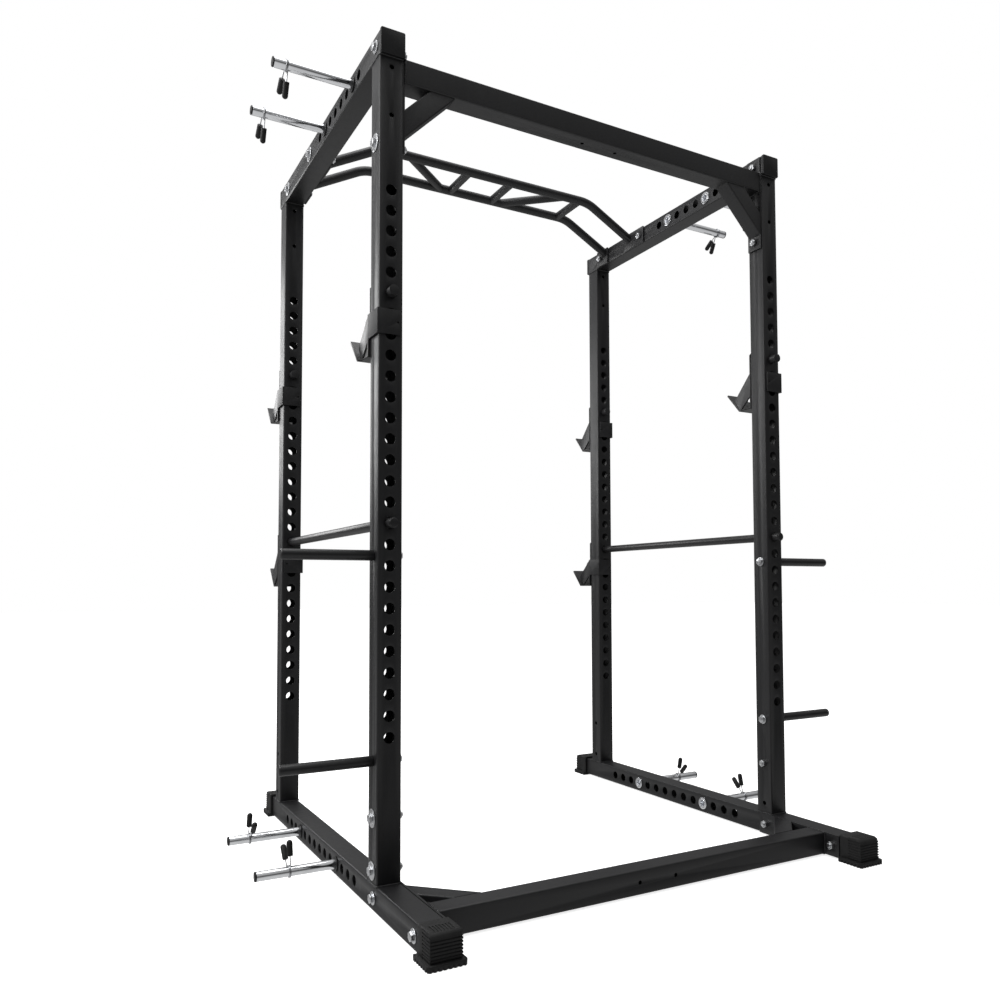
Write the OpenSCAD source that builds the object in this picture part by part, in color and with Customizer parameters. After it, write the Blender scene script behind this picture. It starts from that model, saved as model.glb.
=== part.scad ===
// Power cage of square steel tube: two side frames joined by bolted cross members, a
// multi-grip pull-up bar, safety bars, bar holders and pegs for storing plates.
// Millimetres, +Z up. The origin is the middle of the footprint, on the floor.
// +Y is the open front, -Y the rear with the cross beams, +X the right.

/* [Frame] */
// Distance between the left and right uprights, centre to centre
rack_width = 1240; // [1000:10:1500]
// Distance between the rear and front uprights, centre to centre
rack_depth = 910; // [750:5:1100]
// Length of an upright between its base rail and its top rail
upright_length = 1965; // [1600:5:2400]
// Width of the square tube
tube_size = 60; // [50:1:75]
// Wall of every tube in the frame
tube_wall = 3; // [2:0.5:4]
// Outside radius of the tube's corners
tube_corner = 4; // [3.5:0.5:8]
// Rail in front of the front uprights' centre line
front_overhang = 130; // [120:5:250]
// Rail behind the rear uprights' centre line
rear_overhang = 350; // [330:5:450]
// Top rail that stands past the uprights at each end
top_rail_lip = 2; // [0:1:10]

/* [Holes] */
// Diameter of the adjustment holes
hole_d = 27; // [26:0.5:30]
// Distance between adjustment holes
hole_pitch = 50; // [50:1:60]
// From the upright's top down to the first adjustment hole
first_hole_drop = 328; // [320:1:360]
// From the upright's foot up to the lowest place for an adjustment hole
last_hole_rise = 337; // [330:1:360]
// From an upright's centre line to the nearest side hole in a rail
slot_inset = 130; // [110:1:150]
// Diameter of the accessory holes near the top of an upright
accessory_hole_d = 12; // [8:1:14]
// Drops of the two accessory holes below the upright's top
accessory_drops = [26, 144.5]; // [0:0.5:200]
// Diameter of the small holes in the cross beams
beam_hole_d = 10; // [6:1:14]
// Half the distance between the cross beams' small holes
beam_hole_offset = 55; // [40:1:120]

/* [Cross members] */
// Thickness of every bolted end plate
plate_thick = 5; // [4:0.5:8]
// Across the diagonal braces
brace_size = 50; // [35:1:58]
// Drop of the top cross beam's lower face below the top rail's lower face
top_beam_drop = 55; // [40:1:100]
// Drop of the top end plates' lower edge below the top rail's lower face
top_plate_drop = 231; // [220:1:260]
// Drop of the top end plates' lower bolt below the top rail's lower face
top_bolt_drop = 207.5; // [200:0.5:230]
// From a corner of the top braces' underside to the end plate, along the beam
top_brace_reach = 135; // [100:1:140]
// Length of the base end plates
base_plate_length = 300; // [290:1:320]
// From the base end plates' rear edge to the rail's rear end
base_plate_inset = 67; // [65:1:100]
// Bolt holes' distance from the ends of the base end plates
base_bolt_inset = 25; // [20:1:40]
// From the base end plates' rear edge to the base cross beam
base_beam_inset = 48; // [45:1:80]
// From a base brace's near corner to the end plate, along the beam
base_brace_reach = 62; // [50:1:80]

/* [Pull-up bar] */
// Diameter of the two long tubes
grip_d = 30; // [28:1:34]
// Wall of the two long tubes
grip_wall = 2.5; // [2:0.5:4]
// Diameter of the rungs between them
rung_d = 28; // [24:1:28]
// From the front uprights' centre line back to the front tube
grip_front_inset = 90; // [80:5:120]
// Distance between the two long tubes
grip_spacing = 160; // [140:5:200]
// Height of the raised grips above their ends
grip_rise = 98; // [80:1:140]
// Height of the tubes' ends above the top rails' centre line
grip_entry = 14; // [0:1:15]
// Slope of the tubes' ends
grip_slope = 28; // [22:1:40]
// Radius of the bends, at the tube's centre line
grip_bend = 130; // [100:5:160]
// Half the distance between the inner pair of straight rungs
inner_rung = 82; // [70:1:100]
// Half the distance between the outer pair of straight rungs
outer_rung = 364; // [340:1:370]
// Half the distance between the slanted rungs, at the rear tube
slant_rear = 298; // [260:1:320]
// Half the distance between the slanted rungs, at the front tube
slant_front = 120; // [115:1:150]
// Rise of the bolted plates above the top rail
grip_plate_rise = 1; // [0:1:5]

/* [Bars and holders] */
// Diameter of the safety bars
safety_d = 25; // [20:0.5:25.5]
// Safety bar that stands out behind the rear upright
safety_tail = 26; // [15:1:60]
// How far a safety bar enters the front upright
safety_entry = 20; // [8:1:24]
// Adjustment hole that holds the safety bars and the lower bar holders, counted from the top
safety_row = 17; // [12:1:22]
// Adjustment hole that holds the upper bar holders, counted from the top
hook_row = 6; // [3:1:9]
// Thickness of the holders' plates
hook_plate = 5; // [4:0.5:6]
// Diameter of a holder's pin
hook_pin_d = 25; // [20:0.5:25.5]
// How far an upper holder's pin stands out of the upright's far face
hook_pin_tail = 24; // [10:1:40]
// How far a lower holder's pin enters the upright, whose far side holds the safety bar
hook_pin_reach = 32; // [25:1:34]
// Gap between a holder and its upright
hook_gap = 0.5; // [0.3:0.1:1]
// From the pin down to the holder's lower edge
hook_drop = 145; // [135:1:160]
// From the upright out to the end of a holder's lip
hook_length = 107; // [100:1:120]
// Height of the lip's end above the holder's lower edge
hook_lip_height = 59; // [45:1:70]

/* [Storage pegs] */
// Diameter of the chrome weight pegs and the black plate pegs
peg_d = 25; // [22:0.5:26]
// Wall of the chrome pegs
peg_wall = 2.5; // [2:0.5:4]
// Length of a chrome peg outside its rail
weight_peg_length = 206; // [150:1:300]
// Length of a black peg outside its upright
plate_peg_length = 217; // [207:1:320]
// Heights of the black pegs above the base rail
plate_peg_heights = [282, 762]; // [250:1:900]
// Diameter of the rings and bushes that seat a chrome peg
seat_d = 38; // [34:1:44]
// Thickness of the rings and bushes
seat_thick = 3; // [2:0.5:6]
// Place of a base peg's spring clip along its peg, from the rail's face
clip_place = 120; // [60:1:150]
// Place of a top peg's spring clip along its peg, from the rail's face
top_clip_place = 170; // [110:1:190]
// How much farther out the left base front clip sits
clip_stagger = 25; // [0:1:40]
// How far the base clips' grips have swung to one side, in degrees
clip_turn = 28; // [16:1:45]
// How far the top clips' grips have swung to one side, in degrees
top_clip_turn = 40; // [16:1:60]

/* [Feet and caps] */
// Wall of the rubber boots
boot_wall = 6; // [4:0.5:8]
// Rubber under the rail
boot_sole = 5; // [4:0.5:10]
// Rail that each boot covers
boot_cover = 62; // [45:1:63]
// Width of the flange round a boot's foot
boot_flange = 8; // [6:1:16]
// Thickness of a cap's head
cap_head = 8; // [5:0.5:12]

/* [Fasteners] */
// Diameter of the frame bolts
bolt_d = 12; // [10:1:14]
// Across the flats of the bolt heads and nuts
bolt_flats = 19; // [17:1:22]
// Diameter of the small washers
small_washer_d = 31; // [28:1:34]
// Diameter of the large washers
large_washer_d = 43; // [38:1:46]

/* [Hidden] */
$fn = 48;
SIDES = [-1, 1];
ENDS = ["rear", "front"];
frame_paint = [0.13, 0.13, 0.14];
holder_paint = [0.18, 0.18, 0.19];
rubber = [0.07, 0.07, 0.08];
chrome = [0.85, 0.86, 0.88];
zinc = [0.72, 0.73, 0.75];

// Clearances and cuts
cut = 1;
bolt_hole_d = bolt_d + 1;
seat_gap = 0.1;
boot_gap = 0.2;
cap_gap = 0.2;
wire_gap = 0.05;

// Heights
base_mid_z = boot_sole + tube_size / 2;
base_top_z = boot_sole + tube_size;
top_low_z = base_top_z + upright_length;
top_mid_z = top_low_z + tube_size / 2;
top_beam_z = top_low_z - top_beam_drop + tube_size / 2;

// Places across the cage
upright_x = rack_width / 2;
inner_x = upright_x - tube_size / 2;
outer_x = upright_x + tube_size / 2;
beam_x = inner_x - plate_thick;

// Places from rear to front
rail_length = rear_overhang + rack_depth + front_overhang;
rail_end_y = rail_length / 2;
rear_y = rear_overhang - rail_end_y;
front_y = rear_y + rack_depth;
top_rail_length = rack_depth + tube_size + 2 * top_rail_lip;
top_rail_y = (rear_y + front_y) / 2;
base_plate_y = base_plate_inset - rail_end_y;
base_beam_y = base_plate_y + base_beam_inset + tube_size / 2;
base_bolt_ys = [
    base_plate_y + base_bolt_inset,
    base_plate_y + base_plate_length - base_bolt_inset
];

// Pull-up bar: straight tops, a bend at each end and a slope down to the rails
front_grip_y = front_y - grip_front_inset;
rear_grip_y = front_grip_y - grip_spacing;
grip_z = top_mid_z + grip_entry + grip_rise;
bend_run = grip_bend * sin(grip_slope);
bend_fall = grip_bend * (1 - cos(grip_slope));
slope_run = (grip_rise - bend_fall) / tan(grip_slope);
grip_straight = beam_x - slope_run - bend_run;
grip_plate_edge = 25;
rear_grip_plate = [rear_grip_y - 91, rear_grip_y + grip_plate_edge];
front_grip_plate = [front_grip_y - 20, front_grip_y + 52];
grip_bolt_ys = [rear_grip_plate[0] + 22, front_grip_plate[1] - 22];

// Rows of holes
// Bends of the pull-up tube: turn by which the straights enter them, and extra diameter
bend_lap = 0.5;
bend_swell = 0.04;

bore_corner = max(tube_corner - tube_wall, 0.5);
hole_rows = 1 + floor((upright_length - first_hole_drop - last_hole_rise) / hole_pitch);
function hole_z(row) = top_low_z - first_hole_drop - (row - 1) * hole_pitch;
first_slot_y = rear_y + slot_inset;
function slot_y(slot) = first_slot_y + (slot - 1) * hole_pitch;
base_slots = 1 + floor((rack_depth - 2 * slot_inset) / hole_pitch);
top_slot_clear = 40;
top_slots = 1 + floor((rear_grip_plate[0] - top_slot_clear - first_slot_y) / hole_pitch);
base_peg_slots = [4, base_slots - 3];
left_top_slots = [2, top_slots - 1];
right_top_slots = [3, top_slots - 1];
function top_peg_slots(side) = side < 0 ? left_top_slots : right_top_slots;

// Bolts through the foot of an upright: heights above the base rail
foot_bolt_heights = [30, 150];
left_foot_bolts = [30, 150];
right_foot_bolts = [150];

// Fastener sizes
head_thick = 7.5;
nut_thick = 10;
washer_thick = 2.5;
thread_past_nut = 4;
corners_per_flat = 2 / sqrt(3);
peg_bolt_head = 7;
peg_bolt_grip = 25;
peg_washer_d = 27;

// Spring clips
wire_d = 3;
coil_turns = 2.14;
coil_width = (coil_turns + 1) * wire_d;
coil_r = peg_d / 2 + 0.3 + wire_d / 2;
leg_spread = 6;
leg_lean = 15;
leg_length = 42;
leg_to_rubber = 22;
rubber_length = 40;
rubber_d = 15;

// Bar holders: the lip's rise and run, and the lower edge of the strap below the pin
lip_run = 0.9 * hook_lip_height;
lip_angle = atan2(hook_lip_height, lip_run);
lip_foot = hook_length - lip_run;
strap_low = -101;

function side_name(side) = side < 0 ? "left" : "right";
function end_y(end) = end == "rear" ? rear_y : front_y;

// Bar holders: end, row, which side of the upright the strap passes (+1 outwards), pin length
hook_pin_through = tube_size + hook_pin_tail;
HOOKS = [["rear_upper", "rear", hook_row, 1, hook_pin_through],
    ["front_upper", "front", hook_row, 1, hook_pin_through],
    ["front_lower", "front", safety_row, -1, hook_pin_reach]];
// Clips: y of the peg, its height, direction of the grips, place along the peg and turn on it
function clip_list(side) = [
    ["base_rear", slot_y(base_peg_slots[0]), base_mid_z, 1, clip_place, clip_turn],
    ["base_front", slot_y(base_peg_slots[1]), base_mid_z, 1,
        clip_place + (side < 0 ? clip_stagger : 0), -clip_turn],
    ["top_rear", slot_y(top_peg_slots(side)[0]), top_mid_z, -1, top_clip_place, top_clip_turn],
    ["top_front", slot_y(top_peg_slots(side)[1]), top_mid_z, -1, top_clip_place, top_clip_turn]
];

// ---- Shared shapes ----

module rounded_rect(w, h, r) {
    square([w - 2 * r, h], center = true);
    square([w, h - 2 * r], center = true);
    for (x = [-1, 1], y = [-1, 1])
        translate([x * (w / 2 - r), y * (h / 2 - r)]) circle(r);
}

module tube_section(w, h) {
    difference() {
        rounded_rect(w, h, tube_corner);
        rounded_rect(w - 2 * tube_wall, h - 2 * tube_wall, bore_corner);
    }
}

module along_x(length) {
    rotate([90, 0, 90]) linear_extrude(length) children();
}

module along_y(length) {
    rotate([90, 0, 180]) linear_extrude(length) children();
}

module rod_x(d, length) {
    rotate([0, 90, 0]) cylinder(d = d, h = length);
}

module rod_y(d, length) {
    rotate([-90, 0, 0]) cylinder(d = d, h = length);
}

// A hole through a whole tube, from one side to the other
module cross_hole_x(d) {
    translate([-tube_size / 2 - cut, 0, 0]) rod_x(d, tube_size + 2 * cut);
}

module cross_hole_y(d) {
    translate([0, -tube_size / 2 - cut, 0]) rod_y(d, tube_size + 2 * cut);
}

module ring_x(outer, inner, length) {
    along_x(length) difference() {
        circle(d = outer);
        circle(d = inner);
    }
}

// ---- Side frames ----

module upright(side, end) {
    color(frame_paint)
    translate([side * upright_x, end_y(end), 0])
    difference() {
        translate([0, 0, base_top_z]) linear_extrude(upright_length)
            tube_section(tube_size, tube_size);
        for (row = [1 : hole_rows])
            translate([0, 0, hole_z(row)]) cross_hole_y(hole_d);
        for (drop = accessory_drops)
            translate([0, 0, top_low_z - drop]) cross_hole_y(accessory_hole_d);
        for (rise = foot_bolt_heights)
            translate([0, 0, base_top_z + rise]) cross_hole_x(bolt_hole_d);
        if (end == "rear") {
            translate([0, 0, top_low_z - top_bolt_drop]) cross_hole_x(bolt_hole_d);
            for (rise = plate_peg_heights)
                translate([0, 0, base_top_z + rise]) cross_hole_x(bolt_hole_d);
        }
    }
}

module base_rail(side) {
    color(frame_paint)
    translate([side * upright_x, 0, base_mid_z])
    difference() {
        translate([0, -rail_end_y, 0]) along_y(rail_length) tube_section(tube_size, tube_size);
        for (slot = [1 : base_slots])
            translate([0, slot_y(slot), 0]) cross_hole_x(hole_d);
        for (y = base_bolt_ys)
            translate([0, y, 0]) cross_hole_x(bolt_hole_d);
    }
}

module top_rail(side) {
    color(frame_paint)
    translate([side * upright_x, 0, top_mid_z])
    difference() {
        translate([0, top_rail_y - top_rail_length / 2, 0])
            along_y(top_rail_length) tube_section(tube_size, tube_size);
        for (slot = [1 : top_slots])
            translate([0, slot_y(slot), 0]) cross_hole_x(hole_d);
        for (y = concat([rear_y], grip_bolt_ys))
            translate([0, y, 0]) cross_hole_x(bolt_hole_d);
    }
}

module rail_caps() {
    cap_overhang = 1;
    cap_stub = 18;
    stub_size = tube_size - 2 * tube_wall - 2 * cap_gap;
    color(rubber)
    for (s = SIDES, e = [-1, 1])
        translate([s * upright_x, top_rail_y, top_mid_z])
        mirror([0, e < 0 ? 1 : 0, 0])
        translate([0, top_rail_length / 2, 0]) {
            along_y(cap_head)
                rounded_rect(tube_size + 2 * cap_overhang, tube_size + 2 * cap_overhang, tube_corner);
            translate([0, -cap_stub, 0]) along_y(cap_stub)
                rounded_rect(stub_size, stub_size, bore_corner);
        }
}

// Rubber boot over a rail's end: a ribbed sleeve with a closed end and a notched flange
module boot(side, end) {
    width = tube_size + 2 * boot_wall + 2 * boot_gap;
    height = base_top_z + boot_gap + boot_wall;
    length = boot_cover + boot_gap + boot_wall;
    crown_r = 16;
    rib = 3;
    rib_pitch = 7;
    rib_depth = 1.8;
    rib_length = 40;
    flange_height = 12;
    flange_length = length + boot_flange;
    notch = 5;
    notch_pitch = 11;
    color(rubber)
    translate([side * upright_x, 0, 0])
    mirror([0, end == "rear" ? 1 : 0, 0])
    translate([0, rail_end_y - boot_cover, 0])
    difference() {
        union() {
            intersection() {
                translate([0, 0, height / 2]) along_y(length) rounded_rect(width, height, tube_corner);
                translate([-width / 2, 0, 0]) along_x(width) {
                    square([length - crown_r, height]);
                    square([length, height - crown_r]);
                    translate([length - crown_r, height - crown_r]) circle(crown_r);
                }
            }
            translate([-width / 2 - boot_flange, 0, 0])
                cube([width + 2 * boot_flange, flange_length, flange_height]);
        }
        // room for the rail
        translate([0, -cut, base_mid_z]) along_y(boot_cover + boot_gap + cut)
            rounded_rect(tube_size + 2 * boot_gap, tube_size + 2 * boot_gap, tube_corner);
        // ribs' grooves over the crown, down both sides and across the end
        for (i = [-3 : 3])
            translate([i * rib_pitch - rib / 2, length - rib_length, height - rib_depth])
                cube([rib, rib_length + cut, rib_depth + cut]);
        for (s = SIDES, i = [0 : 8])
            translate([s * width / 2 - rib_depth, length - rib_length, flange_height + i * rib_pitch])
                cube([2 * rib_depth, rib_length + cut, rib]);
        for (i = [0 : 6])
            translate([-width / 2 - cut, length - rib_depth, flange_height + i * rib_pitch])
                cube([width + 2 * cut, rib_depth + cut, rib]);
        // notches round the flange's edge
        for (i = [-3 : 3])
            translate([i * notch_pitch - notch / 2, flange_length - notch / 2, -cut])
                cube([notch, notch, flange_height - notch + cut]);
        for (s = SIDES, i = [1 : 6])
            translate([s * (width / 2 + boot_flange) - notch / 2, i * notch_pitch, -cut])
                cube([notch, notch, flange_height - notch + cut]);
        // chamfered corners of the flange
        for (s = SIDES)
            translate([s * (width / 2 + boot_flange), flange_length, -cut])
                rotate([0, 0, 45])
                cube([boot_flange, boot_flange, 2 * (flange_height + 2 * cut)], center = true);
    }
}

// ---- Cross members ----

module base_cross_beam() {
    color(frame_paint)
    difference() {
        translate([-beam_x, base_beam_y, base_mid_z])
            along_x(2 * beam_x) tube_section(tube_size, tube_size);
        for (s = SIDES)
            translate([s * beam_hole_offset, base_beam_y - tube_size / 2 - cut, base_mid_z])
                rod_y(beam_hole_d, tube_wall + 2 * cut);
    }
}

// Keeps what lies between an end plate and the face of a beam, seen from above
module base_corner(side) {
    reach = 2 * base_plate_length;
    intersection() {
        children();
        translate([side < 0 ? -beam_x : beam_x - reach, base_beam_y + tube_size / 2, 0])
            cube([reach, reach, base_top_z]);
    }
}

module base_braces() {
    reach = 2 * base_plate_length;
    color(frame_paint)
    for (s = SIDES)
        base_corner(s)
        translate([s * (beam_x - base_brace_reach), base_beam_y + tube_size / 2, base_mid_z])
        rotate([0, 0, s * -45])
        translate([s * -brace_size / 2, -reach / 2, 0])
            along_y(reach) tube_section(brace_size, tube_size);
}

module base_end_plates() {
    color(frame_paint)
    for (s = SIDES)
        difference() {
            translate([s < 0 ? -inner_x : beam_x, base_plate_y, boot_sole])
                cube([plate_thick, base_plate_length, tube_size]);
            for (y = base_bolt_ys)
                translate([s * upright_x - tube_size, y, base_mid_z])
                    rod_x(bolt_hole_d, 2 * tube_size);
        }
}

module top_cross_beam() {
    color(frame_paint)
    difference() {
        translate([-beam_x, rear_y, top_beam_z])
            along_x(2 * beam_x) tube_section(tube_size, tube_size);
        for (s = SIDES)
            translate([s * beam_hole_offset, rear_y, top_beam_z - tube_size / 2 - cut])
                cylinder(d = beam_hole_d, h = tube_wall + 2 * cut);
    }
}

module top_braces() {
    brace_y = rear_y - 2;
    reach = 3 * top_brace_reach;
    underside_z = top_beam_z - tube_size / 2;
    color(frame_paint)
    for (s = SIDES)
        intersection() {
            translate([s * (beam_x - top_brace_reach), brace_y, underside_z])
                rotate([0, s * 45, 0])
                translate([-reach / 2, 0, brace_size / 2])
                along_x(reach) tube_section(brace_size, brace_size);
            translate([s < 0 ? -beam_x : beam_x - reach, brace_y - brace_size, underside_z - reach])
                cube([reach, 2 * brace_size, reach]);
        }
}

module top_end_plates() {
    plate_width = tube_size - 6;
    plate_top_z = top_low_z + tube_size - 4;
    plate_low_z = top_low_z - top_plate_drop;
    color(frame_paint)
    for (s = SIDES)
        difference() {
            translate([s < 0 ? -inner_x : beam_x, rear_y - plate_width / 2, plate_low_z])
                cube([plate_thick, plate_width, plate_top_z - plate_low_z]);
            for (z = [top_mid_z, top_low_z - top_bolt_drop])
                translate([s * upright_x - tube_size, rear_y, z])
                    rod_x(bolt_hole_d, 2 * tube_size);
        }
}

// ---- Pull-up bar ----

// The pull-up tube's run from plate to plate, as a round bar of diameter d. The bends are a
// hair thicker than the straights, which enter their ends.
module grip_run(d) {
    slope_length = slope_run / cos(grip_slope) + grip_d;
    translate([-grip_straight, 0, 0]) rod_x(d, 2 * grip_straight);
    for (s = SIDES)
        mirror([s < 0 ? 1 : 0, 0, 0]) {
            translate([grip_straight, 0, -grip_bend])
                rotate([90, 0, 0])
                rotate([0, 0, 90 - grip_slope - bend_lap])
                rotate_extrude(angle = grip_slope + 2 * bend_lap)
                translate([grip_bend, 0]) circle(d = d + bend_swell);
            translate([grip_straight + bend_run, 0, -bend_fall])
                rotate([0, grip_slope, 0])
                rod_x(d, slope_length);
        }
}

// One long tube: raised in the middle, bent down to the rails at both ends
module pull_up_tube(y) {
    end_cut = 2 * (grip_rise + 2 * grip_d);
    color(frame_paint)
    translate([0, y, grip_z])
    difference() {
        grip_run(grip_d);
        grip_run(grip_d - 2 * grip_wall);
        for (s = SIDES)
            translate([s * (beam_x + end_cut / 2), 0, -end_cut / 4]) cube(end_cut, center = true);
    }
}

module rung(rear_x, front_x) {
    turn = atan2(rear_x - front_x, grip_spacing);
    translate([rear_x, rear_grip_y, grip_z])
        rotate([0, 0, turn]) rod_y(rung_d, norm([rear_x - front_x, grip_spacing]));
}

module pull_up_rungs() {
    reach = outer_rung + grip_d;
    color(frame_paint)
    difference() {
        for (s = SIDES) {
            rung(s * inner_rung, s * inner_rung);
            rung(s * outer_rung, s * outer_rung);
            rung(s * slant_rear, s * slant_front);
        }
        for (y = [rear_grip_y, front_grip_y])
            translate([-reach, y, grip_z]) rod_x(grip_d, 2 * reach);
    }
}

module pull_up_plates() {
    plate_height = tube_size;
    color(frame_paint)
    for (s = SIDES, i = [0, 1]) {
        span = i == 0 ? rear_grip_plate : front_grip_plate;
        difference() {
            translate([s < 0 ? -inner_x : beam_x, span[0], top_low_z + grip_plate_rise])
                cube([plate_thick, span[1] - span[0], plate_height]);
            translate([s * upright_x - tube_size, grip_bolt_ys[i], top_mid_z])
                rod_x(bolt_hole_d, 2 * tube_size);
        }
    }
}

// ---- Bars and bar holders ----

module safety_bar(side) {
    rear_tip_y = rear_y - tube_size / 2 - safety_tail;
    front_tip_y = front_y - tube_size / 2 + safety_entry;
    end_r = 2;
    color(frame_paint)
    translate([side * upright_x, rear_tip_y, hole_z(safety_row)])
        rotate([-90, 0, 0])
        rotate_extrude() {
            square([safety_d / 2 - end_r, front_tip_y - rear_tip_y]);
            translate([0, end_r]) square([safety_d / 2, front_tip_y - rear_tip_y - 2 * end_r]);
        }
}

// One side of a holder's cradle, drawn with u outwards from the upright and v upwards
module cradle_side(top) {
    polygon([
        [hook_gap, top],
        [lip_foot + 18, -hook_drop + 38],
        [lip_foot - 2.5, -hook_drop + hook_plate],
        [hook_plate + 40, -hook_drop + hook_plate],
        [hook_gap, strap_low]
    ]);
}

// A holder about its own pin, with its strap passing the +X side of the upright
module holder(pin_length) {
    half = tube_size / 2;
    strap_x = half + hook_gap;
    strap_end = -tube_size - hook_gap;
    edge_x = strap_x + hook_plate;
    lip_past_strap = 10;
    chamfer = 9;
    plate_top = half + 4;
    strap_top = -41;
    strap_nose = 20;
    tab_end = half - 6;
    tab_hole_d = 5;
    color(holder_paint)
    difference() {
        union() {
            // back plate against the upright
            translate([0, hook_gap, 0]) along_y(hook_plate) mirror([1, 0]) polygon([
                [-half, -hook_drop],
                [edge_x, -hook_drop],
                [edge_x, strap_top],
                [half, strap_top],
                [half, plate_top - chamfer],
                [half - chamfer, plate_top],
                [chamfer - half, plate_top],
                [-half, plate_top - chamfer]
            ]);
            // pin
            translate([0, -pin_length, 0]) rod_y(hook_pin_d, pin_length + hook_gap + cut);
            // both sides of the cradle
            translate([-half, 0, 0]) along_x(hook_plate) cradle_side(-28);
            translate([strap_x, 0, 0]) along_x(hook_plate) cradle_side(strap_top);
            // floor and lip
            translate([-half, hook_gap, -hook_drop])
                cube([half + edge_x, lip_foot - hook_gap, hook_plate]);
            translate([-half, lip_foot, -hook_drop])
                rotate([lip_angle, 0, 0])
                cube([half + edge_x + lip_past_strap, hook_lip_height / sin(lip_angle), hook_plate]);
            // strap along the upright and its tab across the far face
            translate([strap_x, 0, 0]) along_x(hook_plate) polygon([
                [strap_end - hook_plate, strap_low],
                [strap_nose, strap_low],
                [strap_nose, strap_top + hook_plate - strap_nose],
                [0, strap_top],
                [strap_end - hook_plate, strap_top]
            ]);
            translate([-tab_end, strap_end - hook_plate, strap_low])
                cube([tab_end + edge_x, hook_plate, strap_top - strap_low]);
        }
        translate([8 - tab_end, strap_end - 2 * hook_plate, (strap_top + strap_low) / 2])
            rod_y(tab_hole_d, 3 * hook_plate);
    }
}

module j_hook(side, hook) {
    translate([side * upright_x, end_y(hook[1]) + tube_size / 2, hole_z(hook[2])])
        mirror([side * hook[3] < 0 ? 1 : 0, 0, 0]) holder(hook[4]);
}

// ---- Weight pegs and their clips ----

// Repeats its children at each chrome peg of a side, on the peg's axis at the rail's centre
module at_pegs(side) {
    mirror([side < 0 ? 1 : 0, 0, 0])
    translate([upright_x, 0, 0]) {
        for (slot = base_peg_slots) translate([0, slot_y(slot), base_mid_z]) children();
        for (slot = top_peg_slots(side)) translate([0, slot_y(slot), top_mid_z]) children();
    }
}

peg_inner = tube_size / 2 + seat_thick + 1;
plug_head = 4;

module weight_pegs(side) {
    color(chrome)
    at_pegs(side) translate([-peg_inner, 0, 0])
        ring_x(peg_d, peg_d - 2 * peg_wall, peg_inner + tube_size / 2 + weight_peg_length - plug_head);
}

module peg_plugs() {
    stub = 14;
    color(rubber)
    for (s = SIDES) at_pegs(s) translate([tube_size / 2 + weight_peg_length - plug_head, 0, 0]) {
        rod_x(peg_d, plug_head);
        translate([-stub, 0, 0]) rod_x(peg_d - 2 * peg_wall - 2 * seat_gap, stub);
    }
}

module peg_rings() {
    color(chrome)
    for (s = SIDES) at_pegs(s) translate([-tube_size / 2 - seat_thick, 0, 0])
        ring_x(seat_d, peg_d + 2 * seat_gap, seat_thick);
}

module peg_bushes() {
    color(rubber)
    for (s = SIDES) at_pegs(s) translate([tube_size / 2, 0, 0])
        ring_x(seat_d, peg_d + 2 * seat_gap, seat_thick);
}

// Puts its children on a clip's peg, mirrored for the left and turned over for a top rail
module at_clip(side, clip) {
    translate([side * (outer_x + clip[4]), clip[1], clip[2]])
        mirror([side < 0 ? 1 : 0, 0, 0])
        mirror([0, 0, clip[3] < 0 ? 1 : 0])
        rotate([-clip[5], 0, 0]) children();
}

module clip_leg(dir) {
    translate([dir * (coil_width - wire_d) / 2, dir * leg_spread, coil_r - 1])
        rotate([dir * -leg_lean, 0, 0]) children();
}

// Sprung coil round the peg and its two straight legs
module clip_wire(side, clip) {
    side_span = coil_width - wire_d;
    color(zinc)
    at_clip(side, clip) {
        rotate([0, 90, 0]) rotate_extrude() translate([coil_r, 0]) {
            square([wire_d, side_span], center = true);
            for (e = [-1, 1]) translate([0, e * side_span / 2]) circle(d = wire_d);
        }
        for (dir = [-1, 1]) clip_leg(dir) cylinder(d = wire_d, h = leg_length);
    }
}

module clip_grips(side, clip) {
    color(rubber)
    at_clip(side, clip)
    for (dir = [-1, 1])
        clip_leg(dir) difference() {
            translate([0, 0, leg_to_rubber]) rotate_extrude() {
                square([rubber_d / 2, rubber_length - rubber_d / 2]);
                intersection() {
                    translate([0, rubber_length - rubber_d / 2]) circle(d = rubber_d);
                    square([rubber_d, rubber_length + rubber_d]);
                }
            }
            cylinder(d = wire_d + 2 * wire_gap, h = leg_length + wire_gap);
        }
}

// Repeats its children at the black pegs, from the inner face of the upright outwards
module at_plate_pegs() {
    for (s = SIDES, rise = plate_peg_heights)
        mirror([s < 0 ? 1 : 0, 0, 0]) translate([inner_x, rear_y, base_top_z + rise]) children();
}

module plate_pegs() {
    end_r = 4;
    color(frame_paint)
    at_plate_pegs() translate([tube_size, 0, 0])
    difference() {
        rotate([0, 90, 0]) rotate_extrude() {
            square([peg_d / 2, plate_peg_length - end_r]);
            square([peg_d / 2 - end_r, plate_peg_length]);
            translate([peg_d / 2 - end_r, plate_peg_length - end_r]) circle(end_r);
        }
        translate([-cut, 0, 0]) rod_x(bolt_d + 2 * seat_gap, peg_bolt_grip + 2 * cut);
    }
}

module hex_x(length) {
    rotate([0, 90, 0]) cylinder(d = bolt_flats * corners_per_flat, h = length, $fn = 6);
}

module plate_peg_bolts() {
    color(zinc)
    at_plate_pegs() {
        translate([-washer_thick, 0, 0]) rod_x(peg_washer_d, washer_thick);
        translate([-washer_thick - peg_bolt_head, 0, 0]) hex_x(peg_bolt_head + cut);
        rod_x(bolt_d, tube_size + peg_bolt_grip);
    }
}

// ---- Frame fasteners ----

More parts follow.
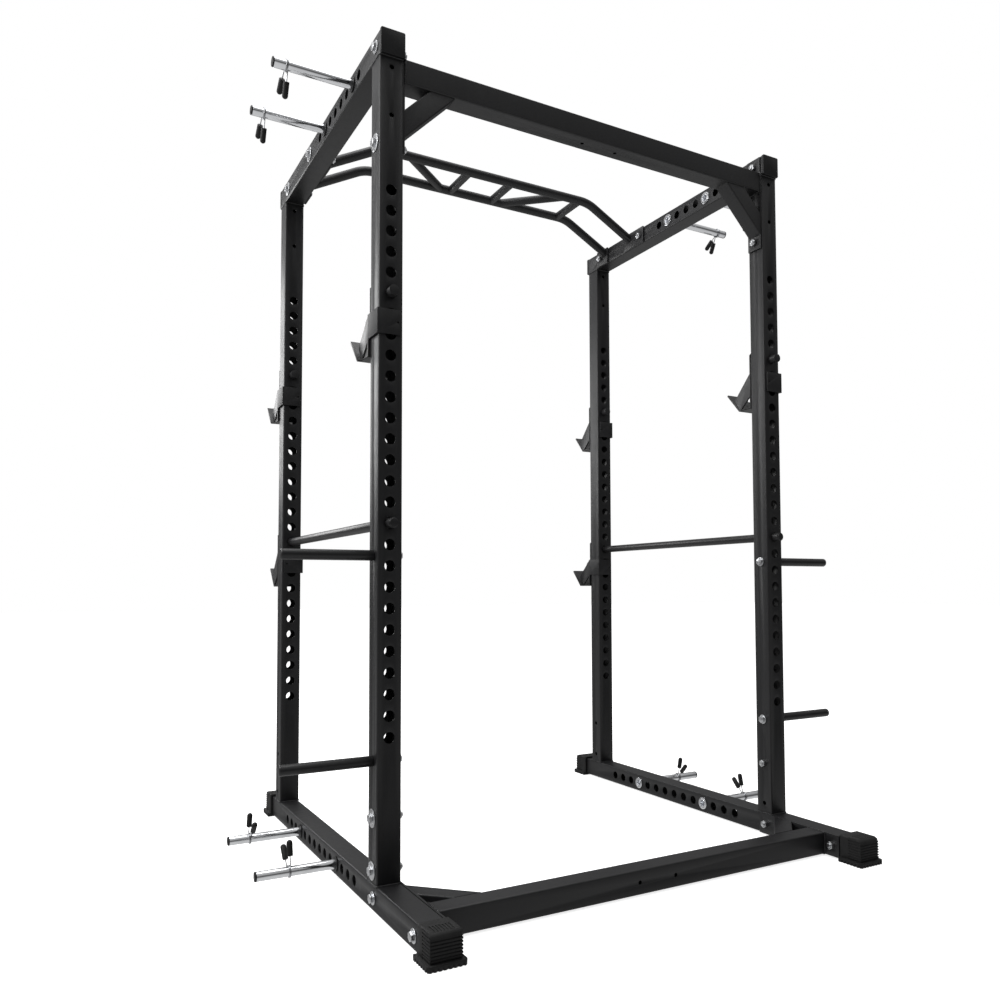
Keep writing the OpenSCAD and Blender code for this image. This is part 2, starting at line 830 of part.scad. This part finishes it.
// Bolt axes of one side: y, z, whether the washer is large, and the plate under the nut
function frame_bolt_list(side) = concat(
    [[rear_y, top_mid_z, false, plate_thick], [rear_y, top_low_z - top_bolt_drop, true, plate_thick]],
    [for (y = grip_bolt_ys) [y, top_mid_z, true, plate_thick]],
    [for (y = base_bolt_ys) [y, base_mid_z, false, plate_thick]],
    [for (rise = side < 0 ? left_foot_bolts : right_foot_bolts) [rear_y, base_top_z + rise, true, 0]]
);

module at_bolt(side, bolt) {
    mirror([side < 0 ? 1 : 0, 0, 0]) translate([outer_x, bolt[0], bolt[1]]) children();
}

module frame_bolts() {
    color(zinc)
    for (s = SIDES, b = frame_bolt_list(s)) at_bolt(s, b) {
        shank = washer_thick + tube_size + b[3] + nut_thick + thread_past_nut;
        translate([washer_thick, 0, 0]) hex_x(head_thick);
        translate([washer_thick - shank, 0, 0]) rod_x(bolt_d, shank + cut);
    }
}

module frame_nuts() {
    color(zinc)
    for (s = SIDES, b = frame_bolt_list(s)) at_bolt(s, b)
        translate([-tube_size - b[3] - nut_thick, 0, 0])
        difference() {
            hex_x(nut_thick);
            translate([-cut, 0, 0]) rod_x(bolt_d + 2 * seat_gap, nut_thick + 2 * cut);
        }
}

module washers(large, d) {
    color(zinc)
    for (s = SIDES, b = frame_bolt_list(s)) if (b[2] == large)
        at_bolt(s, b) ring_x(d, bolt_d + 2 * seat_gap, washer_thick);
}

// ---- Nodes ----

for (s = SIDES, end = ENDS) {
    upright(s, end);
    boot(s, end);
}
for (s = SIDES) {
    base_rail(s);
    top_rail(s);
    safety_bar(s);
    weight_pegs(s);
}
for (s = SIDES, h = HOOKS)
    j_hook(s, h);
for (s = SIDES, c = clip_list(s)) {
    clip_wire(s, c);
    clip_grips(s, c);
}
base_cross_beam();
base_braces();
base_end_plates();
top_cross_beam();
top_braces();
top_end_plates();
pull_up_tube(rear_grip_y);  // pull_up_tube_rear
pull_up_tube(front_grip_y);  // pull_up_tube_front
pull_up_rungs();
pull_up_plates();
rail_caps();
peg_plugs();
peg_rings();
peg_bushes();
plate_pegs();
plate_peg_bolts();
frame_bolts();
frame_nuts();
washers(false, small_washer_d);  // small_washers
washers(true, large_washer_d);  // large_washers
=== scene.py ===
import math

import bpy
from mathutils import Matrix, Vector


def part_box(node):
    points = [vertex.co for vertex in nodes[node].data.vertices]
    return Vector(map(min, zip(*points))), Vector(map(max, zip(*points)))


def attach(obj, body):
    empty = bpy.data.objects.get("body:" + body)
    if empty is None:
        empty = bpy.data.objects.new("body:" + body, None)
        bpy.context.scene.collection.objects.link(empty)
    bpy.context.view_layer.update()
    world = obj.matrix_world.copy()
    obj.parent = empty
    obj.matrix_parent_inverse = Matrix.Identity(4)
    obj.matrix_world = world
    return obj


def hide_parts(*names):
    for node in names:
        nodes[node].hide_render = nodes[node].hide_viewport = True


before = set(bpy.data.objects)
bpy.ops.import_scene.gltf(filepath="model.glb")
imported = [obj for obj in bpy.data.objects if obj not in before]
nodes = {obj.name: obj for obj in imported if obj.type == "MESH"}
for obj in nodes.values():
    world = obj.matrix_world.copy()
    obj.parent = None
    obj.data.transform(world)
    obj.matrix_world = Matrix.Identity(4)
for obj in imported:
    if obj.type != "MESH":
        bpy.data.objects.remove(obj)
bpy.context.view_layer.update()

# ---------------------------------------------------------------------------
# Stage: a pale studio floor and a white surround, brighter to the left and
# behind, with large soft lights. The camera stands low at the rear left.
# ---------------------------------------------------------------------------


class Field:
    """A socket in a material, with arithmetic, so that a pattern reads as a formula."""

    def __init__(self, tree, socket=None):
        self.tree = tree
        self.socket = socket

    def node(self, kind, settings=None, inputs=None, output=0):
        """Adds a node: its settings first, then the values or links of its sockets."""
        made = self.tree.nodes.new(kind)
        for name, value in (settings or {}).items():
            setattr(made, name, value)
        for name, value in (inputs or {}).items():
            if isinstance(value, Field):
                self.tree.links.new(value.socket, made.inputs[name])
            else:
                made.inputs[name].default_value = value
        return Field(self.tree, made.outputs[output])

    def math(self, operation, first, second=0.0):
        return self.node("ShaderNodeMath", {"operation": operation}, {0: first, 1: second})

    def __add__(self, other):
        return self.math("ADD", self, other)

    __radd__ = __add__

    def __mul__(self, other):
        return self.math("MULTIPLY", self, other)

    __rmul__ = __mul__

    def __sub__(self, other):
        return self.math("SUBTRACT", self, other)

    def __rsub__(self, other):
        return self.math("SUBTRACT", other, self)


class Finish(Field):
    """A new material: holds its shader and the patterns that feed it."""

    def __init__(self, name):
        self.material = bpy.data.materials.new(name)
        self.material.use_nodes = True
        super().__init__(self.material.node_tree)
        self.shader = self.tree.nodes["Principled BSDF"]
        self.place = self.node("ShaderNodeTexCoord", output="Object")

    def noise(self, size, detail=2.0, roughness=0.5, stretch=(1, 1, 1)):
        """Cloudy noise from 0 to 1 whose features are about size metres across."""
        scale = tuple(k / size for k in stretch)
        place = self.node("ShaderNodeMapping", None, {"Vector": self.place, "Scale": scale})
        return self.node(
            "ShaderNodeTexNoise", None,
            {"Vector": place, "Scale": 1.0, "Detail": detail, "Roughness": roughness},
        )

    def clamp(self, value, low, high):
        """Stretches low..high to 0..1 and cuts off what lies outside."""
        return self.node(
            "ShaderNodeMapRange", None,
            {"Value": value, "From Min": low, "From Max": high},
        )

    def mix(self, mask, first, second):
        """Blends two colours, first where the mask is 0 and second where it is 1."""
        return self.node(
            "ShaderNodeMix", {"data_type": "RGBA"},
            {"Factor": mask, 6: tuple(first) + (1,), 7: tuple(second) + (1,)}, output=2,
        )

    def bump(self, height, strength, distance):
        return self.node(
            "ShaderNodeBump", None,
            {"Height": height, "Strength": strength, "Distance": distance},
        )

    def set(self, **values):
        """Sets or links the shader's sockets, named with underscores for spaces."""
        for name, value in values.items():
            socket = self.shader.inputs[name.replace("_", " ")]
            if isinstance(value, Field):
                self.tree.links.new(value.socket, socket)
            else:
                socket.default_value = value


scene = bpy.context.scene
scene.view_settings.view_transform = "Standard"

floor_size = 60.0
floor_gap = 0.0005
bpy.ops.mesh.primitive_plane_add(size=floor_size, location=(0, 0, -floor_gap))
floor = bpy.context.object
floor.name = "studio_floor"
floor_paint = Finish("studio_floor")
grain = floor_paint.noise(0.4, 3.0)
floor_paint.set(
    Base_Color=floor_paint.mix(grain, (0.90, 0.90, 0.90), (0.93, 0.93, 0.93)),
    Roughness=0.9,
    Specular_IOR_Level=0.05,
    Emission_Color=(1, 1, 1, 1),
    Emission_Strength=0.80,
)
floor.data.materials.append(floor_paint.material)
floor.visible_diffuse = False
floor.visible_glossy = False

surround = bpy.data.worlds.new("studio")
surround.use_nodes = True
scene.world = surround
sky = Field(surround.node_tree)
brightest = (-0.70, 0.66, 0.20)
direction = sky.node("ShaderNodeTexCoord", output="Generated")
facing = sky.node(
    "ShaderNodeVectorMath", {"operation": "DOT_PRODUCT"},
    {0: direction, 1: brightest}, output="Value",
)
glow = sky.node(
    "ShaderNodeMapRange", None,
    {"Value": facing, "From Min": -0.9, "From Max": 0.9, "To Min": 0.06, "To Max": 0.17},
)
height = sky.node("ShaderNodeSeparateXYZ", None, {"Vector": direction}, output="Z")
ground = sky.node(
    "ShaderNodeMapRange", None,
    {"Value": height, "From Min": 0.0, "From Max": -0.50, "To Min": 0.0, "To Max": 0.55},
)
ceiling = sky.node(
    "ShaderNodeMapRange", None,
    {"Value": height, "From Min": 0.08, "From Max": 0.75, "To Min": 0.0, "To Max": 0.45},
)
seen = sky.node("ShaderNodeLightPath", output="Is Camera Ray")
backdrop = surround.node_tree.nodes["Background"]
backdrop.inputs["Color"].default_value = (1, 1, 1, 1)
strength = (glow + ground + ceiling) * (1 - seen) + seen
surround.node_tree.links.new(strength.socket, backdrop.inputs["Strength"])


def softbox(name, place, aim, size, power):
    """A square area light at place, facing aim."""
    lamp = bpy.data.lights.new(name, "AREA")
    lamp.shape = "SQUARE"
    lamp.size = size
    lamp.energy = power
    stand = bpy.data.objects.new(name, lamp)
    scene.collection.objects.link(stand)
    stand.location = place
    stand.visible_camera = False
    line = Vector(aim) - Vector(place)
    stand.rotation_euler = line.to_track_quat("-Z", "Y").to_euler()


softbox("key", (-3.0, 0.4, 2.9), (-0.6, 0.0, 1.5), 1.6, 70)
softbox("back", (-1.5, 3.4, 2.2), (-0.3, 0.4, 1.3), 1.5, 34)
softbox("top", (-0.4, 0.2, 5.0), (0, 0, 0), 3.0, 80)

camera_place = Vector((-1.332, -2.2913, 0.748))
camera_heading = 0.51953
camera_tilt = 0.046024
camera_roll = -0.003788
lens = bpy.data.cameras.new("camera")
lens.sensor_width = 36
lens.lens = 30.977
lens.shift_x = -0.0321
lens.shift_y = 0.0487
lens.clip_end = 200
camera = bpy.data.objects.new("camera", lens)
scene.collection.objects.link(camera)
camera.matrix_world = (
    Matrix.Translation(camera_place)
    @ Matrix.Rotation(-camera_heading, 4, "Z")
    @ Matrix.Rotation(math.pi / 2 + camera_tilt, 4, "X")
    @ Matrix.Rotation(camera_roll, 4, "Z")
)
scene.camera = camera

# ---------------------------------------------------------------------------
# Frame: cold-formed square steel tube, 3 mm wall, punched, welded into two
# side frames and powder coated satin black. Punching leaves soft rims round
# the holes, and the coat has a fine orange-peel skin that holds some dust.
# ---------------------------------------------------------------------------


def powder_coat(name, dark, light, sheen):
    """Powder coat: orange-peel skin, faint clouding, dust and tiny bright specks."""
    coat = Finish(name)
    peel = coat.noise(0.0016, 2.0)
    grit = coat.noise(0.00045, 1.0)
    clouds = coat.noise(0.16, 3.0)
    dust = coat.clamp(coat.noise(0.035, 6.0, 0.65), 0.52, 0.8)
    specks = coat.clamp(coat.noise(0.0022, 1.0), 0.70, 0.78)
    streaks = coat.clamp(coat.noise(0.02, 4.0, 0.6, (1, 1, 0.08)), 0.45, 0.75)
    tone = clouds * 0.50 + dust * 0.25 + specks * 0.25 + streaks * 0.15
    coat.set(
        Base_Color=coat.mix(tone, dark, light),
        Roughness=sheen + clouds * 0.08 + dust * 0.08 + streaks * 0.05 - specks * 0.06,
        Specular_IOR_Level=0.45,
        Normal=coat.bump(peel * 0.7 + grit * 0.3, 0.30, 0.00035),
    )
    return coat.material


SAME_POINT = 0.00002  # points closer than this become one
FLAT = math.radians(0.5)  # faces that differ by less become one
SHARP = math.radians(38)  # edges sharper than this are rounded
SMOOTH = math.radians(35)  # faces that differ by less are shaded as one
WIRE_SMOOTH = math.radians(50)  # the same, on wire and weld beads


def pick(*objects):
    """Selects just these objects and makes the first of them active."""
    bpy.ops.object.select_all(action="DESELECT")
    for item in objects:
        item.select_set(True)
    bpy.context.view_layer.objects.active = objects[0]


def settle():
    """Applies the picked object's place, turn and scale, so that its origin is the frame's."""
    bpy.ops.object.transform_apply(location=True, rotation=True, scale=True)


def edit_all(*steps):
    """Runs mesh operators, each with its settings, on the whole of the active mesh."""
    bpy.ops.object.mode_set(mode="EDIT")
    bpy.ops.mesh.select_all(action="SELECT")
    for operator, settings in steps:
        operator(**settings)
    bpy.ops.object.mode_set(mode="OBJECT")


def softened(name, material, edge, body="frame"):
    """A merged copy of a CAD node with small rounded edges, which stands in its place."""
    node = nodes[name]
    piece = bpy.data.objects.new(f"{name}_finished", node.data.copy())
    scene.collection.objects.link(piece)
    piece.matrix_world = node.matrix_world
    pick(piece)
    settle()
    edit_all(
        (bpy.ops.mesh.remove_doubles, {"threshold": SAME_POINT}),
        (bpy.ops.mesh.dissolve_limited, {"angle_limit": FLAT}),
    )
    rounding = piece.modifiers.new("edges", "BEVEL")
    rounding.width = edge
    rounding.segments = 2
    rounding.limit_method = "ANGLE"
    rounding.angle_limit = SHARP
    rounding.use_clamp_overlap = True
    bpy.ops.object.modifier_apply(modifier=rounding.name)
    bpy.ops.object.shade_smooth_by_angle(angle=SMOOTH)
    piece.data.materials.clear()
    piece.data.materials.append(material)
    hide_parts(name)
    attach(piece, body)


SIDES = {"left": -1, "right": 1}
ENDS = ("rear", "front")
frame_black = powder_coat("frame_black", (0.0070, 0.0070, 0.0078), (0.019, 0.019, 0.0205), 0.40)
tube_edge = 0.0005
for side in SIDES:
    for end in ENDS:
        softened(f"upright_{end}_{side}", frame_black, tube_edge)
    for rail in ("base_rail", "top_rail"):
        softened(f"{rail}_{side}", frame_black, tube_edge)

# ---------------------------------------------------------------------------
# Cross members: square beams with flat end plates and small corner braces,
# welded up, coated like the frame and bolted between the side frames.
# ---------------------------------------------------------------------------
beam_edge = 0.0008
for name in ("base_cross_beam", "top_cross_beam", "base_braces", "top_braces",
             "base_end_plates", "top_end_plates"):
    softened(name, frame_black, beam_edge)

# ---------------------------------------------------------------------------
# Pull-up bar: two bent round tubes joined by six straight and slanted rungs,
# on four bolted plates. The whole of it is welded and coated satin black.
# ---------------------------------------------------------------------------
grip_edge = 0.0006
for name in ("pull_up_tube_rear", "pull_up_tube_front", "pull_up_rungs", "pull_up_plates"):
    softened(name, frame_black, grip_edge)

# ---------------------------------------------------------------------------
# Welds: a fillet bead of stacked ripples runs round the foot and the head of
# each upright and round each end of the cross beams, coated with the frame.
# ---------------------------------------------------------------------------
weld_coat = Finish("weld_beads")
ripple = weld_coat.noise(0.0035, 1.0, 0.4)
spatter = weld_coat.clamp(weld_coat.noise(0.0012, 1.0), 0.6, 0.8)
weld_coat.set(
    Base_Color=weld_coat.mix(ripple, (0.006, 0.006, 0.0066), (0.020, 0.020, 0.0215)),
    Roughness=0.38 + spatter * 0.15,
    Specular_IOR_Level=0.45,
    Normal=weld_coat.bump(ripple + spatter * 0.3, 0.9, 0.0012),
)


bead_radius = 0.0024
bead_lift = 0.0006
bead_corner = 0.004


def bead_loop(place, turn, width, height):
    """A rounded-square loop of weld bead about place, in the plane that turn sets."""
    bpy.ops.mesh.primitive_plane_add(size=1)
    loop = bpy.context.object
    loop.scale = (width, height, 1)
    bpy.ops.object.transform_apply(location=False, rotation=False, scale=True)
    edit_all(
        (bpy.ops.mesh.bevel, {"affect": "VERTICES", "offset": bead_corner, "segments": 4}),
        (bpy.ops.mesh.delete, {"type": "ONLY_FACE"}),
    )
    bpy.ops.object.convert(target="CURVE")
    loop.data.bevel_depth = bead_radius
    loop.data.bevel_resolution = 2
    bpy.ops.object.convert(target="MESH")
    loop = bpy.context.object
    loop.rotation_euler = turn
    loop.location = place
    settle()
    return loop


low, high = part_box("upright_rear_left")
tube_size = high[1] - low[1]
beads = []
for side in SIDES:
    for end in ENDS:
        low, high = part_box(f"upright_{end}_{side}")
        x, y = (low[0] + high[0]) / 2, (low[1] + high[1]) / 2
        for z in (low[2] + bead_lift, high[2] - bead_lift):
            beads.append(bead_loop((x, y, z), (0, 0, 0), tube_size, tube_size))
for name in ("base_cross_beam", "top_cross_beam"):
    low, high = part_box(name)
    y, z = (low[1] + high[1]) / 2, (low[2] + high[2]) / 2
    for x in (low[0] + bead_lift, high[0] - bead_lift):
        beads.append(bead_loop(
            (x, y, z), (0, math.pi / 2, 0), high[2] - low[2], high[1] - low[1]))
pick(*beads)
bpy.ops.object.join()
welds = beads[0]
welds.name = "weld_beads"
edit_all((bpy.ops.mesh.normals_make_consistent, {"inside": False}))
bpy.ops.object.shade_smooth_by_angle(angle=WIRE_SMOOTH)
welds.data.materials.clear()
welds.data.materials.append(weld_coat.material)
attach(welds, "frame")

# ---------------------------------------------------------------------------
# Safety bars: solid round steel bars that lie in the uprights' holes, coated
# satin black all over, a little smoother and lighter than the frame.
# ---------------------------------------------------------------------------
bar_black = powder_coat("bar_black", (0.0075, 0.0075, 0.0082), (0.022, 0.022, 0.0235), 0.34)
bar_edge = 0.0008
for side in SIDES:
    name = f"safety_bar_{side}"
    softened(name, bar_black, bar_edge, name)

# ---------------------------------------------------------------------------
# Bar holders: laser-cut steel plate, bent and welded into a cradle with a
# sloping lip, a strap round the upright and a round pin. Coated black.
# ---------------------------------------------------------------------------
holder_black = powder_coat("holder_black", (0.0085, 0.0085, 0.0092), (0.024, 0.024, 0.0255), 0.38)
holder_edge = 0.0009
for side in SIDES:
    for place in ("rear_upper", "front_upper", "front_lower"):
        name = f"j_hook_{place}_{side}"
        softened(name, holder_black, holder_edge, name)

# ---------------------------------------------------------------------------
# Rubber boots and plastic caps: moulded black rubber pulled over the ends of
# the base rails, and plain plastic caps pressed into the top rails.
# ---------------------------------------------------------------------------


def moulded(name, dark, light, dull, grain_size):
    """Moulded rubber or plastic: fine mould grain, chalky bloom and scuffs."""
    skin = Finish(name)
    pores = skin.noise(grain_size, 2.0, 0.6)
    bloom = skin.clamp(skin.noise(0.05, 5.0, 0.6), 0.40, 0.80)
    scuffs = skin.clamp(skin.noise(0.012, 5.0, 0.7, (1, 1, 3)), 0.60, 0.80)
    skin.set(
        Base_Color=skin.mix(bloom * 0.6 + scuffs * 0.4, dark, light),
        Roughness=dull + bloom * 0.12 - scuffs * 0.10,
        Specular_IOR_Level=0.35,
        Normal=skin.bump(pores, 0.35, 0.0003),
    )
    return skin.material


boot_rubber = moulded("boot_rubber", (0.0060, 0.0060, 0.0062), (0.020, 0.020, 0.020), 0.58, 0.0007)
cap_plastic = moulded("cap_plastic", (0.0065, 0.0065, 0.0070), (0.017, 0.017, 0.018), 0.42, 0.0009)
rubber_edge = 0.0005
cap_edge = 0.0010
for side in SIDES:
    for end in ENDS:
        softened(f"foot_{end}_{side}", boot_rubber, rubber_edge)
softened("rail_caps", cap_plastic, cap_edge)

# ---------------------------------------------------------------------------
# Chrome weight pegs: thin steel tube, polished and chrome plated, through the
# rails: a plated ring on the inner face, a plastic bush on the outer, an end plug.
# ---------------------------------------------------------------------------
chrome = Finish("peg_chrome")
haze = chrome.clamp(chrome.noise(0.04, 4.0), 0.40, 0.80)
rings = chrome.noise(0.0016, 2.0, 0.5, (1, 0.03, 0.03))
wear = chrome.clamp(chrome.noise(0.006, 5.0, 0.7, (0.25, 1, 1)), 0.58, 0.80)
chrome.set(
    Base_Color=chrome.mix(haze * 0.6 + wear * 0.4, (0.80, 0.81, 0.83), (0.62, 0.63, 0.65)),
    Metallic=1.0,
    Roughness=0.09 + haze * 0.05 + wear * 0.12 + rings * 0.03,
    Normal=chrome.bump(rings, 0.08, 0.0002),
)
peg_edge = 0.0004
ring_edge = 0.0006
for side in SIDES:
    softened(f"weight_pegs_{side}", chrome.material, peg_edge)
softened("peg_rings", chrome.material, ring_edge)
softened("peg_bushes", cap_plastic, ring_edge)
softened("peg_plugs", cap_plastic, cap_edge)

# ---------------------------------------------------------------------------
# Black plate pegs: solid turned steel bars, coated, each held through the
# upright by one large hexagon bolt.
# ---------------------------------------------------------------------------
plate_peg_edge = 0.0010
softened("plate_pegs", bar_black, plate_peg_edge)

zinc = Finish("bright_zinc")
bloom = zinc.clamp(zinc.noise(0.009, 5.0, 0.6), 0.35, 0.75)
turned = zinc.noise(0.0009, 2.0, 0.5, (1, 0.2, 0.2))
stain = zinc.clamp(zinc.noise(0.022, 4.0, 0.6), 0.55, 0.80)
zinc.set(
    Base_Color=zinc.mix(bloom * 0.5 + stain * 0.5, (0.66, 0.67, 0.69), (0.45, 0.45, 0.44)),
    Metallic=1.0,
    Roughness=0.24 + bloom * 0.14 + stain * 0.10 + turned * 0.04,
    Normal=zinc.bump(turned * 0.5 + bloom * 0.3, 0.22, 0.0003),
)
large_bolt_edge = 0.0007
softened("plate_peg_bolts", zinc.material, large_bolt_edge)

# ---------------------------------------------------------------------------
# Fasteners: zinc-plated hexagon bolts, nuts and washers hold the cross members
# and the pull-up bar to the side frames.
# ---------------------------------------------------------------------------
bolt_edge = 0.0006
for name in ("frame_bolts", "frame_nuts", "small_washers", "large_washers"):
    softened(name, zinc.material, bolt_edge)

# ---------------------------------------------------------------------------
# Spring clips: one length of round spring steel wire, wound a little over two
# turns round the peg, with both ends bent outwards, and a rubber grip on each.
# ---------------------------------------------------------------------------
wire = 0.003
coil_radius = 0.0143
leg_side = 0.006
leg_lean = math.radians(15)
leg_length = 0.0423
tip_edge = 0.0005
# each clip: the way its grips point, up or down, and its turn on the peg in degrees
CLIPS = {"base_rear": (1, 28), "base_front": (1, -28), "top_rear": (-1, 40), "top_front": (-1, 40)}
spring_steel = Finish("spring_steel")
drawn = spring_steel.noise(0.0012, 3.0, 0.6)
tarnish = spring_steel.clamp(spring_steel.noise(0.012, 4.0), 0.40, 0.75)
spring_steel.set(
    Base_Color=spring_steel.mix(tarnish, (0.50, 0.51, 0.53), (0.30, 0.30, 0.30)),
    Metallic=1.0,
    Roughness=0.22 + tarnish * 0.14 + drawn * 0.05,
    Normal=spring_steel.bump(drawn, 0.15, 0.0002),
)

# the coil: two turns and the part between the legs, wound from the right leg to the left
leave = math.acos(leg_side / coil_radius)
sweep = 5 * math.pi - 2 * leave
half_width = sweep / (2 * math.pi) * wire / 2
bpy.ops.mesh.primitive_circle_add(
    radius=wire / 2, vertices=12, location=(half_width, coil_radius, 0))
spring = bpy.context.object
settle()
spring.rotation_euler = (leave, 0, 0)
settle()
winding = spring.modifiers.new("winding", "SCREW")
winding.axis = "X"
winding.angle = sweep
winding.screw_offset = -2 * half_width
winding.steps = winding.render_steps = 72
bpy.ops.object.modifier_apply(modifier=winding.name)
edit_all((bpy.ops.mesh.fill_holes, {"sides": 0}))

# the legs, each from a round elbow at an end of the coil
parts = [spring]
for turn in (1, -1):
    elbow = Vector((turn * half_width, turn * leg_side, coil_radius * math.sin(leave)))
    along = Vector((0, turn * math.sin(leg_lean), math.cos(leg_lean)))
    bpy.ops.mesh.primitive_uv_sphere_add(
        segments=12, ring_count=8, radius=wire / 2, location=elbow)
    parts.append(bpy.context.object)
    bpy.ops.mesh.primitive_cylinder_add(
        vertices=12, radius=wire / 2, depth=leg_length,
        location=elbow + along * leg_length / 2, rotation=(-turn * leg_lean, 0, 0))
    leg = bpy.context.object
    tip = leg.modifiers.new("tip", "BEVEL")
    tip.width = tip_edge
    tip.segments = 2
    tip.limit_method = "ANGLE"
    tip.angle_limit = WIRE_SMOOTH
    bpy.ops.object.modifier_apply(modifier=tip.name)
    parts.append(leg)
pick(*parts)
bpy.ops.object.join()
settle()

for side, way in SIDES.items():
    for place, (up, turn) in CLIPS.items():
        body = f"clip_{place}_{side}"
        low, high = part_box(f"clip_wire_{place}_{side}")
        reach = coil_radius + wire / 2
        centre = Vector((
            (low.x + high.x) / 2,
            low.y + reach if turn > 0 else high.y - reach,
            low.z + reach if up > 0 else high.z - reach,
        ))
        copy = bpy.data.objects.new(f"clip_spring_{place}_{side}", spring.data.copy())
        scene.collection.objects.link(copy)
        copy.matrix_world = (
            Matrix.Translation(centre)
            @ Matrix.Diagonal((way, 1, up, 1))
            @ Matrix.Rotation(-math.radians(turn), 4, "X")
        )
        pick(copy)
        settle()
        edit_all((bpy.ops.mesh.normals_make_consistent, {"inside": False}))
        bpy.ops.object.shade_smooth_by_angle(angle=WIRE_SMOOTH)
        copy.data.materials.append(spring_steel.material)
        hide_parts(f"clip_wire_{place}_{side}")
        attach(copy, body)
        softened(f"clip_grips_{place}_{side}", boot_rubber, rubber_edge, body)
bpy.data.objects.remove(spring)
